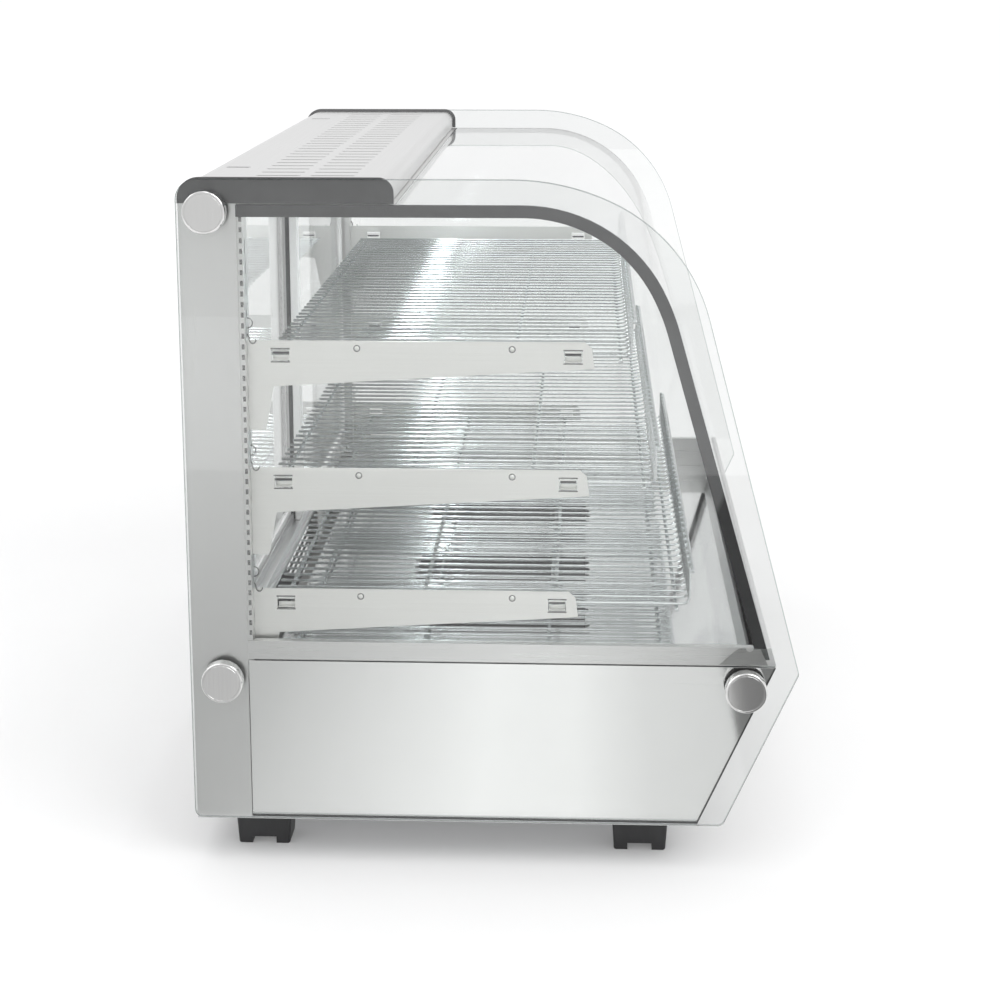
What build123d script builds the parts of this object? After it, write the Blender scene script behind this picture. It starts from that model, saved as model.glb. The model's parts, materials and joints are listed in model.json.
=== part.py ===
"""Countertop bakery display case: curved front glass, wire shelves, chilled base.

Frame: X runs along the width, -Y is the customer's side, +Y is the operator's side, +Z is up.
The origin is the middle of the footprint, on the counter. Lengths are in millimetres.
"""
from build123d import *
import os
from math import radians, tan

# ---- overall size ----
WIDTH = 880.0
DEPTH = 582.0
HEIGHT = 671.0
FRONT_Y = -DEPTH / 2
REAR_Y = DEPTH / 2

# ---- widths, measured outwards from the middle plane ----
CAP_PROUD = 11.0
PANE_T = 6.0
SEAL_T = 3.0
PANE_OUT = WIDTH / 2 - CAP_PROUD
PANE_IN = PANE_OUT - PANE_T
BODY_X = PANE_IN - SEAL_T

# ---- heights of the base ----
FOOT_H = 41.0
SHEET = 1.2
PLATE_T = 3.0
BASE_Z = FOOT_H + PLATE_T
PANE_BOTTOM = 45.0
SILL_Z = 206.0
SILL_H = 18.4
SILL_TOP = SILL_Z + SILL_H
DECK_Z = 186.0
TIP_Z = 200.0
UNDERCUT = 24.2
COVER_BOTTOM = 647.0

# ---- front curve: two tangent arcs between the flat top and the straight lower run ----
GLASS_T = 6.0
GLASS_TOP = 646.0
GLASS_FLAT_END = -28.5
GLASS_ARCS = ((146.0, 61.9), (206.0, 12.2))
GLASS_BACK_Y = 88.0
SEAL_W = 11.5
PANE_TOP = HEIGHT - 1.0
PANE_FLAT_END = -17.94
PANE_ARCS = ((218.0, 24.6), (167.0, 50.5))

# ---- rear frame ----
COLUMN_W = 54.0
COLUMN_T = 26.0
COLUMN_FRONT = REAR_Y - 1 - COLUMN_W
COVER_FRONT = 90.0

# ---- rounded corners of the side panes ----
PANE_REAR_R = 20.0
PANE_FOOT_R = 8.0
PANE_TIP_R = 6.0

# ---- shelves ----
SHELF_TOPS = {"top": 516.0, "middle": 393.0, "bottom": 273.0}
SHELF_REACH = {"top": 346.0, "middle": 370.0, "bottom": 404.0}
ARM_REACH = {"top": 326.0, "middle": 322.0, "bottom": 312.0}
SHELF_REAR = 216.0
WIRE_R = 1.4
ROD_R = 2.0
WIRE_PITCH = 19.5
WIRE_COUNT = 41
FENCE_H = 38.0
GAP = 0.02
SHELF_HALF = 401.0
ARM_X = 406.0
ARM_T = 1.5

# ---- sliding doors ----
DOOR_W = 404.0
DOOR_T = 5.0
STILE_W = 16.0
STILE_T = 9.0
DOOR_TRACKS = {"inner": 246.0, "outer": 260.0}

os.makedirs("parts", exist_ok=True)


def save(piece, name):
    """Label a finished sub-part and write it to its own file."""
    piece.part.label = name
    export_step(piece.part, f"parts/{name}.step")


def front_run(start, top, arcs, end_z):
    """Draw flat top, arcs and straight run inside the open BuildLine; return the last point."""
    y, flat_end = start
    Line((y, top), (flat_end, top))
    edge = JernArc((flat_end, top), (-1, 0), arcs[0][0], arcs[0][1])
    edge = JernArc(edge @ 1, edge % 1, arcs[1][0], arcs[1][1])
    end, way = edge @ 1, edge % 1
    last = (end.X + way.X / way.Y * (end_z - end.Y), end_z)
    Line(end, last)
    return last


def glass_curve(inset, back_y, end_z):
    """Front glass outline, moved inwards by inset; returns its lowest point."""
    arcs = [(radius - inset, turn) for radius, turn in GLASS_ARCS]
    return front_run((back_y, GLASS_FLAT_END), GLASS_TOP - inset, arcs, end_z)


def curved_band(inner, outer, back_y, end_z, x, width):
    """Solid strip between two insets of the front glass outline, from x to x + width."""
    with BuildPart() as band:
        with BuildSketch(Plane.YZ.offset(x)):
            with BuildLine():
                low_out = glass_curve(outer, back_y, end_z)
                low_in = glass_curve(inner, back_y, end_z)
                Line(low_out, low_in)
                Line((back_y, GLASS_TOP - outer), (back_y, GLASS_TOP - inner))
            make_face()
        extrude(amount=width)
    return band


def front_at(z, inset=0.0):
    """Y of the straight lower run of the front glass at height z, moved inwards by inset."""
    with BuildLine(Plane.XY, mode=Mode.PRIVATE) as probe:
        last = glass_curve(inset, 0, z)
    return last[0]


def undercut_y(z, tip_y):
    """Y of an inclined base face that leaves tip_y at TIP_Z and leans back downwards."""
    return tip_y + (TIP_Z - z) * tan(radians(UNDERCUT))


def box(x, y, z, mode=Mode.ADD):
    """Box between pairs of limits, added to the open part."""
    centre = ((x[0] + x[1]) / 2, (y[0] + y[1]) / 2, (z[0] + z[1]) / 2)
    with Locations(centre):
        Box(x[1] - x[0], y[1] - y[0], z[1] - z[0], mode=mode)


ALONG_X = (0, 90, 0)
ALONG_Y = (90, 0, 0)


def rods_along_x(radius, half_length, places):
    """Round rods across the width of the open part, one at each (y, z)."""
    with Locations(*[(0, y, z) for y, z in places]):
        Cylinder(radius, 2 * half_length, rotation=ALONG_X)


# ---- glass ----
STANDOFFS = ((REAR_Y - 28.0, 640.0), (REAR_Y - 32.0, 187.5), (-241.0, 185.0))
CAP_R = 20.0
STUD_R = 5.0
WASHER_R = 14.0


def side_pane(side):
    """Side glass, drilled for its three standoffs; side is -1 or 1."""
    x = min(side * PANE_IN, side * PANE_OUT)
    with BuildPart() as pane:
        with BuildSketch(Plane.YZ.offset(x)):
            with BuildLine():
                tip = front_run((REAR_Y, PANE_FLAT_END), PANE_TOP, PANE_ARCS, TIP_Z)
                toe = (undercut_y(PANE_BOTTOM, tip[0]), PANE_BOTTOM)
                Polyline(tip, toe, (REAR_Y, PANE_BOTTOM), (REAR_Y, PANE_TOP))
            make_face()
            with Locations(*STANDOFFS):
                Circle(STUD_R + 1.0, mode=Mode.SUBTRACT)
        extrude(amount=PANE_T)
        upright = pane.edges().filter_by(Axis.X)
        corners = upright.filter_by(GeomType.LINE)
        fillet(corners.sort_by(Axis.Z)[-2:].sort_by(Axis.Y)[-1:], PANE_REAR_R)
        corners = pane.edges().filter_by(Axis.X).filter_by(GeomType.LINE)
        fillet(corners.group_by(Axis.Z)[0], PANE_FOOT_R)
        tips = pane.edges().filter_by(Axis.X).filter_by(GeomType.LINE)
        fillet(tips.group_by(Axis.Y)[0], PANE_TIP_R)
    return pane


for side, word in ((-1, "left"), (1, "right")):
    save(side_pane(side), f"side_glass_{word}")
    seal_x = min(side * BODY_X, side * PANE_IN)
    save(curved_band(0, SEAL_W, COLUMN_FRONT, SILL_TOP, seal_x, SEAL_T), f"glass_seal_{word}")

front_glass = curved_band(0, GLASS_T, GLASS_BACK_Y, SILL_Z + 6, -BODY_X, 2 * BODY_X)
save(front_glass, "front_glass")


# ---- standoffs that clamp the side panes ----
def standoff(side, place, slide_in):
    """Turned cap and stud on the pane; place is (y, z), slide_in how far the stud reaches inwards."""
    y, z = place
    face = Plane((side * PANE_OUT, y, z), x_dir=(0, 1, 0), z_dir=(side, 0, 0))
    with BuildPart() as cap:
        with BuildSketch(face):
            Circle(CAP_R)
        extrude(amount=CAP_PROUD)
        chamfer(cap.faces().sort_by(Axis.X)[-1 if side > 0 else 0].edges(), 0.8)
        with BuildSketch(face):
            Circle(STUD_R)
        extrude(amount=-slide_in)
    return cap.part


def washer(side, place):
    """Soft washer between pane and body, with a sleeve that lines the hole in the glass."""
    y, z = place
    face = Plane((side * BODY_X, y, z), x_dir=(0, 1, 0), z_dir=(side, 0, 0))
    with BuildPart() as ring:
        with BuildSketch(face):
            Circle(WASHER_R)
            Circle(STUD_R, mode=Mode.SUBTRACT)
        extrude(amount=SEAL_T)
        with BuildSketch(face):
            Circle(STUD_R + 1.0)
            Circle(STUD_R, mode=Mode.SUBTRACT)
        extrude(amount=SEAL_T + PANE_T)
    return ring.part


STUD_REACH = PANE_T + SEAL_T + 5.0
with BuildPart() as caps:
    for side in (-1, 1):
        for place in STANDOFFS:
            add(standoff(side, place, STUD_REACH))
save(caps, "standoff_caps")

with BuildPart() as washers:
    for side in (-1, 1):
        for place in STANDOFFS:
            add(washer(side, place))
save(washers, "standoff_washers")


def stud_holes(side, places):
    """Clearance holes for the studs through the sheet at the body's side, in the open part."""
    with Locations(*[(side * BODY_X, y, z) for y, z in places]):
        Cylinder(STUD_R + 0.05, 20, rotation=ALONG_X, mode=Mode.SUBTRACT)


# ---- top cover ----
WELT_H = 3.5  # the moulded end caps stand this far proud of the sheet
COVER_REAR_R = 20.0
COVER_FRONT_R = 14.0
LOUVRE_COUNT = 26
LOUVRE_PITCH = 30.0
LOUVRE_ROWS = (203.0, 152.0)
LOUVRE_L = 42.0
LOUVRE_W = 4.0
VENT_X = 300.0
VENT_Y = 254.0


def cover_lines(inset, bottom):
    """Cross-section of the top cover moved inwards by inset, closed at height bottom."""
    top, rear, front = HEIGHT - inset, REAR_Y - 1 - inset, COVER_FRONT + inset
    back = Line((rear, bottom), (rear, top - COVER_REAR_R + inset))
    back = JernArc(back @ 1, (0, 1), COVER_REAR_R - inset, 90)
    flat = Line(back @ 1, (front + COVER_FRONT_R - inset, top))
    nose = JernArc(flat @ 1, (-1, 0), COVER_FRONT_R - inset, 90)
    Line(nose @ 1, (front, bottom))
    Line((front, bottom), (rear, bottom))


with BuildPart() as top_cover:
    with BuildSketch(Plane.YZ.offset(-BODY_X)):
        with BuildLine():
            cover_lines(WELT_H, COVER_BOTTOM)
        make_face()
    extrude(amount=2 * BODY_X)
    with BuildSketch(Plane.YZ.offset(-BODY_X)):
        with BuildLine():
            cover_lines(WELT_H + SHEET, COVER_BOTTOM - 1)
        make_face()
    extrude(amount=2 * BODY_X, mode=Mode.SUBTRACT)
    with BuildSketch(Plane.XY.offset(HEIGHT - WELT_H - 5)):
        for row in LOUVRE_ROWS:
            with Locations((0, row)):
                with GridLocations(LOUVRE_PITCH, 1, LOUVRE_COUNT, 1):
                    SlotOverall(LOUVRE_L, LOUVRE_W, rotation=90)
        with Locations((-VENT_X, VENT_Y), (VENT_X, VENT_Y)):
            SlotOverall(24, 7, rotation=90)
    extrude(amount=10, mode=Mode.SUBTRACT)
save(top_cover, "top_cover")

with BuildPart() as cover_seals:
    for side in (-1, 1):
        with BuildSketch(Plane.YZ.offset(min(side * BODY_X, side * PANE_IN))):
            with BuildLine():
                cover_lines(0, COVER_BOTTOM)
            make_face()
            with Locations(STANDOFFS[0]):
                Circle(WASHER_R + 0.3, mode=Mode.SUBTRACT)
        extrude(amount=SEAL_T)
save(cover_seals, "top_cover_seals")

CEILING_Z = COVER_BOTTOM - 0.6 - SHEET
with BuildPart() as ceiling:
    box((-BODY_X, BODY_X), (GLASS_BACK_Y + 1, COLUMN_FRONT - 1), (CEILING_Z, CEILING_Z + SHEET))
    rim = (COVER_FRONT + WELT_H + SHEET, COVER_FRONT + WELT_H + 2 * SHEET)
    rim_top = HEIGHT - WELT_H - 3 * SHEET - COVER_FRONT_R
    box((-BODY_X + 1, BODY_X - 1), rim, (CEILING_Z, rim_top))
save(ceiling, "ceiling_panel")

# ---- lamp under the ceiling ----
LAMP_HALF = 398.0
LAMP_Y = 112.0
with BuildPart() as lamp_housing:
    box((-LAMP_HALF, LAMP_HALF), (LAMP_Y - 11, LAMP_Y + 11), (CEILING_Z - 8, CEILING_Z))
    box((-LAMP_HALF + 3, LAMP_HALF - 3), (LAMP_Y - 9, LAMP_Y + 9),
        (CEILING_Z - 8, CEILING_Z - 2), Mode.SUBTRACT)
save(lamp_housing, "lamp_housing")
with BuildPart() as lamp_diffuser:
    with BuildSketch(Plane.YZ.offset(-LAMP_HALF + 3)):
        with Locations((LAMP_Y, CEILING_Z - 5)):
            Rectangle(18, 6)
            with Locations((0, -3)):
                Ellipse(9, 4)
    extrude(amount=2 * LAMP_HALF - 6)
save(lamp_diffuser, "lamp_diffuser")

# ---- rear columns and slotted uprights ----
COLUMN_TOP = COVER_BOTTOM - 0.1
FOLD = 1.5
UPRIGHT_D = 5.0
UPRIGHT_W = 24.0
UPRIGHT_X = ARM_X
SLOT_PITCH = 20.0
SLOT_H = 13.0
SLOT_W = 3.0


def column(side):
    """C-shaped folded column, open towards the cabinet."""
    outer, inner = side * BODY_X, side * (BODY_X - COLUMN_T)
    with BuildPart() as post:
        box(sorted((outer, inner)), (COLUMN_FRONT, REAR_Y - 1), (BASE_Z, COLUMN_TOP))
        hollow = sorted((outer - side * FOLD, inner))
        box(hollow, (COLUMN_FRONT + FOLD, REAR_Y - 1 - FOLD), (BASE_Z, COLUMN_TOP), Mode.SUBTRACT)
        stud_holes(side, STANDOFFS[:2])
    return post


with BuildPart() as uprights:
    half, front = UPRIGHT_W / 2, COLUMN_FRONT - UPRIGHT_D
    reach = (DECK_Z + 0.2, CEILING_Z - 9)
    first_slot = SHELF_TOPS["top"] - 11
    heights = [first_slot + SLOT_PITCH * i for i in range(-15, 6)]
    for middle in (-UPRIGHT_X, UPRIGHT_X):
        box((middle - half, middle + half), (front, COLUMN_FRONT), reach)
        box((middle - half + SHEET, middle + half - SHEET), (front + SHEET, COLUMN_FRONT),
            reach, Mode.SUBTRACT)
        with Locations(*[(middle, front, z) for z in heights]):
            Box(SLOT_W, 4, SLOT_H, mode=Mode.SUBTRACT)
save(uprights, "shelf_uprights")

# ---- shelf brackets ----
ARM_REAR = COLUMN_FRONT - UPRIGHT_D - 0.02
LEG_DROP = 86.0
CLIP_Z = -14.0
CLIP_W = 17.0
CLIP_H = 12.0


def bracket(side, tier):
    """Tapered sheet arm with a hanging rear leg, two windows and hooks on its rear edge."""
    top, reach = SHELF_TOPS[tier], ARM_REACH[tier]
    tip = ARM_REAR - reach
    x = side * ARM_X - ARM_T / 2
    with BuildPart() as arm:
        with BuildSketch(Plane.YZ.offset(x)):
            with BuildLine():
                Polyline(
                    (ARM_REAR, top), (tip + 9, top), (tip + 2.5, top - 6), (tip, top - 25),
                    (ARM_REAR - 24, top - 44), (ARM_REAR - 16, top - LEG_DROP),
                    (ARM_REAR, top - LEG_DROP), close=True)
            make_face()
            with Locations((ARM_REAR - 31, top + CLIP_Z), (tip + 20, top + CLIP_Z)):
                Rectangle(CLIP_W, CLIP_H, mode=Mode.SUBTRACT)
        extrude(amount=ARM_T)
        steps = round((top - 11 - first_slot) / SLOT_PITCH)
        high = first_slot + steps * SLOT_PITCH
        for z in (high, high - 3 * SLOT_PITCH):
            hook_y = (ARM_REAR - 1, ARM_REAR + UPRIGHT_D - 0.5)
            box((x, x + ARM_T), hook_y, (z - 1, z + SLOT_H / 2 - 1))
            box((x, x + ARM_T), (ARM_REAR + SHEET + 0.4, hook_y[1]), (z - 5.5, z))
    return arm


for side, word in ((-1, "left"), (1, "right")):
    save(column(side), f"rear_column_{word}")
    for tier in SHELF_TOPS:
        save(bracket(side, tier), f"shelf_bracket_{tier}_{word}")

# ---- wire shelves ----
SHELF_DROP = 16.0
ROD_SPOTS = (0.03, 0.36, 0.68, 0.97)


def wire_shelf(tier):
    """Welded wire shelf: fore-and-aft wires on cross rods, with an upturned front fence."""
    z, rear = SHELF_TOPS[tier] - SHELF_DROP, SHELF_REAR
    front = rear - SHELF_REACH[tier]
    rod_z = z - WIRE_R - ROD_R - GAP
    with BuildPart() as shelf:
        with BuildSketch(Plane.XZ.offset(-rear)):
            with Locations((0, z)):
                with GridLocations(WIRE_PITCH, 1, WIRE_COUNT, 1):
                    Circle(WIRE_R)
        extrude(amount=rear - front - WIRE_R - GAP)
        with BuildSketch(Plane.XY.offset(z - WIRE_R)):
            with Locations((0, front)):
                with GridLocations(WIRE_PITCH, 1, WIRE_COUNT, 1):
                    Circle(WIRE_R)
        extrude(amount=FENCE_H)
        spots = [(rear - share * (rear - front), rod_z) for share in ROD_SPOTS]
        rods_along_x(ROD_R, SHELF_HALF, spots)
        rail_y = front - WIRE_R - ROD_R - GAP
        rods_along_x(ROD_R, WIRE_PITCH * (WIRE_COUNT - 1) / 2 + ROD_R, [(rail_y, z + FENCE_H - 5)])
    return shelf


for tier in SHELF_TOPS:
    save(wire_shelf(tier), f"wire_shelf_{tier}")

# ---- floor rack that stands on the deck ----
RACK_Z = DECK_Z + 9.0
RACK_FRONT = -176.0
RACK_REAR = 214.0
with BuildPart() as floor_rack:
    with BuildSketch(Plane.XZ.offset(-RACK_REAR)):
        with Locations((0, RACK_Z)):
            with GridLocations(WIRE_PITCH, 1, WIRE_COUNT, 1):
                Circle(WIRE_R)
    extrude(amount=RACK_REAR - RACK_FRONT)
    rack_rod = RACK_Z - WIRE_R - ROD_R - GAP
    length = RACK_REAR - RACK_FRONT
    spots = [(RACK_REAR - share * length, rack_rod) for share in ROD_SPOTS]
    rods_along_x(ROD_R, WIRE_PITCH * (WIRE_COUNT - 1) / 2 + ROD_R, spots)
    with BuildSketch(Plane.XY.offset(DECK_Z)):
        for share in ROD_SPOTS[::3]:
            with Locations((0, RACK_REAR - share * length)):
                with GridLocations(2 * 370, 1, 2, 1):
                    Circle(2.5)
    extrude(amount=rack_rod - ROD_R - GAP - DECK_Z)
save(floor_rack, "floor_rack")

# ---- deck and sills ----
SILL_W = 8.0
VENT_COUNT = 22
VENT_PITCH = 24.0
VENT_SLOT = (200.0, 10.0)
with BuildPart() as deck:
    front = front_at(SILL_Z, GLASS_T) + 5.0
    edge = BODY_X - SILL_W - 0.5
    box((-edge, edge), (front, COLUMN_FRONT - UPRIGHT_D - 0.5), (DECK_Z - SHEET, DECK_Z))
    with BuildSketch(Plane.XY.offset(DECK_Z - 5)):
        with Locations((0, 7)):
            with GridLocations(VENT_PITCH, 1, VENT_COUNT, 1):
                SlotOverall(*VENT_SLOT, rotation=90)
    extrude(amount=10, mode=Mode.SUBTRACT)
save(deck, "deck")

LIP_T = 4.5
HOLDER_IN = 3.0
SILL_FRONT = -252.0


def holder_line(z, inset):
    """Point on a line parallel to the front glass."""
    return (front_at(z, inset), z)


with BuildPart() as sills:
    gap = GLASS_T + HOLDER_IN + 0.1
    rear = COLUMN_FRONT - 0.1
    for side in (-1, 1):
        outer, inner = side * BODY_X, side * (BODY_X - SILL_W)
        with BuildSketch(Plane.YZ.offset(min(outer, inner))):
            with BuildLine():
                Polyline(
                    holder_line(SILL_TOP, gap), holder_line(DECK_Z, gap),
                    (rear, DECK_Z), (rear, SILL_TOP), close=True)
            make_face()
        extrude(amount=SILL_W)
        hollow = sorted((outer - side * SHEET, inner + side * SHEET))
        box(hollow, (FRONT_Y, rear + 1), (DECK_Z, SILL_TOP - SHEET), Mode.SUBTRACT)
        skin = sorted((outer + side, outer - side * (SHEET + 0.1)))
        box(skin, (FRONT_Y, rear + 1), (DECK_Z, SILL_Z), Mode.SUBTRACT)
        box(sorted((outer, inner - side)), (FRONT_Y, SILL_FRONT), (DECK_Z, SILL_Z), Mode.SUBTRACT)
        upright_gap = sorted((inner - side, outer - side * 1.9))
        box(upright_gap, (rear - UPRIGHT_D - 0.2, rear + 1), (DECK_Z, SILL_TOP), Mode.SUBTRACT)
save(sills, "sills")

with BuildPart() as holder:
    with BuildSketch(Plane.YZ.offset(-BODY_X)):
        with BuildLine():
            Polyline(
                holder_line(SILL_TOP, -LIP_T), holder_line(SILL_Z, -LIP_T),
                holder_line(SILL_Z, GLASS_T + HOLDER_IN),
                holder_line(SILL_TOP, GLASS_T + HOLDER_IN), close=True)
        make_face()
        with BuildLine():
            Polyline(
                holder_line(SILL_TOP + 1, 0), holder_line(SILL_Z + 6, 0),
                holder_line(SILL_Z + 6, GLASS_T), holder_line(SILL_TOP + 1, GLASS_T), close=True)
        make_face(mode=Mode.SUBTRACT)
    extrude(amount=2 * BODY_X)
save(holder, "glass_holder")

# ---- base shell ----
PANEL_TOP = SILL_Z - 1.5
PANEL_TIP = holder_line(PANEL_TOP, -LIP_T)[0] + 1.0
SIDE_T = 1.2


def panel_front(z, inset=0.0):
    """Y of the inclined base front at height z."""
    return undercut_y(z, PANEL_TIP) - (TIP_Z - PANEL_TOP) * tan(radians(UNDERCUT)) + inset


for side, word in ((-1, "left"), (1, "right")):
    with BuildPart() as side_panel:
        with BuildSketch(Plane.YZ.offset(min(side * BODY_X, side * (BODY_X - SIDE_T)))):
            with BuildLine():
                Polyline(
                    (panel_front(PANEL_TOP), PANEL_TOP), (panel_front(BASE_Z), BASE_Z),
                    (COLUMN_FRONT - 0.6, BASE_Z), (COLUMN_FRONT - 0.6, PANEL_TOP), close=True)
            make_face()
        extrude(amount=SIDE_T)
        stud_holes(side, STANDOFFS[2:])
    save(side_panel, f"base_side_panel_{word}")

with BuildPart() as front_panel:
    inner_half = BODY_X - SIDE_T - 0.1
    with BuildSketch(Plane.YZ.offset(-inner_half)):
        with BuildLine():
            Polyline(
                (panel_front(PANEL_TOP), PANEL_TOP), (panel_front(BASE_Z), BASE_Z),
                (panel_front(BASE_Z, SHEET), BASE_Z), (panel_front(PANEL_TOP, SHEET), PANEL_TOP),
                close=True)
        make_face()
    extrude(amount=2 * inner_half)
save(front_panel, "base_front_panel")

with BuildPart() as bottom_plate:
    plate = (panel_front(BASE_Z) + 1.0, REAR_Y - 1)
    box((-BODY_X, BODY_X), plate, (FOOT_H, BASE_Z))
save(bottom_plate, "bottom_plate")

# ---- feet ----
FOOT_Y = (230.5, -143.5)
FOOT_X = 371.0
FOOT_L = 56.0
FOOT_W = 40.0
NOTCH_W = 24.0
NOTCH_H = 7.5


def foot():
    """Moulded block foot, slightly tapered, with a notch across its sole."""
    with BuildPart() as block:
        with BuildSketch(Plane.XY.offset(FOOT_H)):
            RectangleRounded(FOOT_W, FOOT_L, 3)
        with BuildSketch(Plane.XY):
            RectangleRounded(FOOT_W - 4, FOOT_L - 5, 3)
        loft()
        fillet(block.faces().sort_by(Axis.Z)[0].edges(), 2)
        box((-FOOT_W, FOOT_W), (-NOTCH_W / 2, NOTCH_W / 2), (0, NOTCH_H), Mode.SUBTRACT)
    return block.part


with BuildPart() as feet:
    one_foot = foot()
    with Locations(*[(side * FOOT_X, y, 0) for side in (-1, 1) for y in FOOT_Y]):
        add(one_foot)
save(feet, "feet")

# ---- door tracks ----
TRACK_FLOOR = SILL_TOP + 1.0
TRACK_HALF = BODY_X - COLUMN_T - 0.1
TRACK_Y = (235.0, 271.0)
RIB_T = 1.5
RIBS = (239.2, 252.25, 265.3)
RIB_UP = 9.0
RIB_DOWN = 16.0
TRACK_BASE = 4.0


def track(z_base, z_rib):
    """Two-groove door track: a base bar with three ribs; both arguments are z limits."""
    with BuildPart() as rail:
        box((-TRACK_HALF, TRACK_HALF), (COLUMN_FRONT + 0.5, TRACK_Y[1]), sorted(z_base))
        for rib in RIBS:
            box((-TRACK_HALF, TRACK_HALF), (rib, rib + RIB_T), sorted(z_rib))
    return rail


low_track = track((TRACK_FLOOR - TRACK_BASE, TRACK_FLOOR), (TRACK_FLOOR, TRACK_FLOOR + RIB_UP))
save(low_track, "door_track_bottom")
TRACK_ROOF = COLUMN_TOP - 2.5
high_track = track((TRACK_ROOF, COLUMN_TOP), (TRACK_ROOF - RIB_DOWN, TRACK_ROOF))
save(high_track, "door_track_top")

# ---- sliding doors ----
DOOR_FLOOR = TRACK_FLOOR + 0.5
DOOR_ROOF = TRACK_ROOF - 3.0
RAIL_H = 14.0
PULL_W = 22.0
PULL_H = 90.0
PULL_T = 3.5


def door(side, middle_y):
    """Frame, pane and pull of the door on one side; the door reaches past the middle."""
    edge = side * (TRACK_HALF - 0.4)
    x_limits = sorted((edge, edge - side * DOOR_W))
    inner_x = (x_limits[0] + STILE_W, x_limits[1] - STILE_W)
    inner_z = (DOOR_FLOOR + RAIL_H, DOOR_ROOF - RAIL_H)
    y_limits = (middle_y - STILE_T / 2, middle_y + STILE_T / 2)
    with BuildPart() as frame:
        box(x_limits, y_limits, (DOOR_FLOOR, DOOR_ROOF))
        box(inner_x, y_limits, inner_z, Mode.SUBTRACT)
        fillet(frame.edges().filter_by(Axis.Z).group_by(Axis.X)[0], 1.5)
        fillet(frame.edges().filter_by(Axis.Z).group_by(Axis.X)[-1], 1.5)
    with BuildPart() as pane:
        box(inner_x, (middle_y - DOOR_T / 2, middle_y + DOOR_T / 2), inner_z)
    pull_x = edge - side * (STILE_W + PULL_W / 2 + 8)
    face_y = middle_y + DOOR_T / 2
    with BuildPart() as pull:
        with Locations((pull_x, face_y + PULL_T / 2, (DOOR_FLOOR + DOOR_ROOF) / 2)):
            Box(PULL_W, PULL_T, PULL_H)
            fillet(pull.edges().filter_by(Axis.Y), 8)
            Box(PULL_W - 8, PULL_T, PULL_H - 12, mode=Mode.SUBTRACT)
    return frame, pane, pull


for side, word, line in ((-1, "left", "outer"), (1, "right", "inner")):
    frame, pane, pull = door(side, DOOR_TRACKS[line])
    save(frame, f"door_{word}_frame")
    save(pane, f"door_{word}_glass")
    save(pull, f"door_{word}_pull")

# ---- rear panel with its openings ----
REAR_FACE = REAR_Y - 8.0
PANEL_T = 1.2
EXHAUST_X = 210.0
EXHAUST_ROWS = 9
EXHAUST_PITCH = 12.0
CONTROL_X = -60.0
CONTROL_Z = 150.0
CONTROL_HOLE = (71.0, 29.0)
SWITCH_X = (-190.0, -150.0)
SWITCH_Z = 150.0
SWITCH_HOLE = (19.4, 22.0)
INLET_X = -300.0
INLET_Z = 90.0
INLET_HOLE = (28.0, 20.5)
SCREW_SPOTS = [(x, z) for x in (-380.0, 0.0, 380.0) for z in (56.0, 196.0)]
SCREW_R = 2.0
SCREW_HEAD_R = 4.0
SCREW_HEAD_T = 2.0
RECESS_W = 0.8
RECESS_L = 4.4
EXHAUST_SLOT = (190.0, 5.0)
SIDE_SLOT = (60.0, 5.0)
SIDE_SLOT_X = -330.0
BASE_MID = 125.0

with BuildPart() as rear_panel:
    panel_half = TRACK_HALF
    panel_top = TRACK_FLOOR - TRACK_BASE - 0.1
    box((-panel_half, panel_half), (REAR_FACE - PANEL_T, REAR_FACE), (BASE_Z, panel_top))
    shelf_y = (COLUMN_FRONT + 0.5, REAR_FACE - PANEL_T)
    box((-panel_half, panel_half), shelf_y, (panel_top - SHEET, panel_top))
    with BuildSketch(Plane.XZ.offset(-REAR_FACE - 5)):
        with Locations((EXHAUST_X, BASE_MID)):
            with GridLocations(1, EXHAUST_PITCH, 1, EXHAUST_ROWS):
                SlotOverall(*EXHAUST_SLOT)
        with Locations((SIDE_SLOT_X, BASE_MID + 40)):
            with GridLocations(1, EXHAUST_PITCH, 1, 3):
                SlotOverall(*SIDE_SLOT)
        with Locations((CONTROL_X, CONTROL_Z)):
            Rectangle(*CONTROL_HOLE)
        with Locations(*[(x, SWITCH_Z) for x in SWITCH_X]):
            Rectangle(*SWITCH_HOLE)
        with Locations((INLET_X, INLET_Z)):
            Rectangle(*INLET_HOLE)
        with Locations(*SCREW_SPOTS):
            Circle(SCREW_R + 0.05)
    extrude(amount=10, mode=Mode.SUBTRACT)
save(rear_panel, "base_rear_panel")

with BuildPart() as screws:
    with Locations(*[(x, REAR_FACE + 1, z) for x, z in SCREW_SPOTS]):
        Cylinder(SCREW_HEAD_R, SCREW_HEAD_T, rotation=ALONG_Y)
    with Locations(*[(x, REAR_FACE - 4, z) for x, z in SCREW_SPOTS]):
        Cylinder(SCREW_R, 8, rotation=ALONG_Y)
    fillet(screws.faces().group_by(Axis.Y)[-1].edges(), 0.8)
    with Locations(*[(x, REAR_FACE + 2, z) for x, z in SCREW_SPOTS]):
        Box(RECESS_L, 1.6, RECESS_W, mode=Mode.SUBTRACT)
        Box(RECESS_W, 1.6, RECESS_L, mode=Mode.SUBTRACT)
save(screws, "panel_screws")

# ---- controller ----
BEZEL = (78.0, 35.0)
BEZEL_T = 3.0
BUTTON_R = 3.5
BUTTON_TRAVEL = 0.8
BUTTON_PLACES = {"set": -30.0, "down": 18.0, "up": 30.0}

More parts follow.
